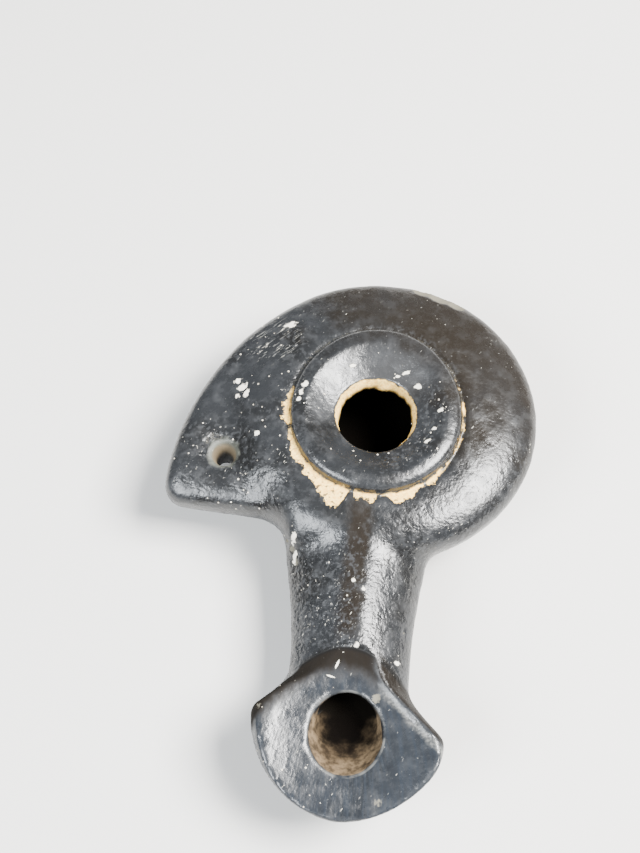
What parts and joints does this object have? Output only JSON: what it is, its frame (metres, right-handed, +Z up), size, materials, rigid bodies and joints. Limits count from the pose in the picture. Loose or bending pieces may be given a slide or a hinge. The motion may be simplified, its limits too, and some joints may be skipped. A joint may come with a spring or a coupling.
{
  "type": "oil lamp",
  "caption": "Dark-slipped terracotta oil lamp: round hollow body with a dished collar round the filling hole, long ridged nozzle with a fluked wick plate, and a pierced side lug.",
  "frame": {"origin": "centre of the flat disc foot, on the surface it stands on", "axes": "+Z up, -Y along the nozzle towards its tip, -X towards the lug"},
  "size_m": [0.0716, 0.1093, 0.025],
  "materials": {
    "black_slip": "dark grey-black slip rubbed to a soft shine, worn to beige clay at the edges"
  },
  "bodies": {
    "root": {"oil_lamp": "black_slip"}
  },
  "joints": []
}
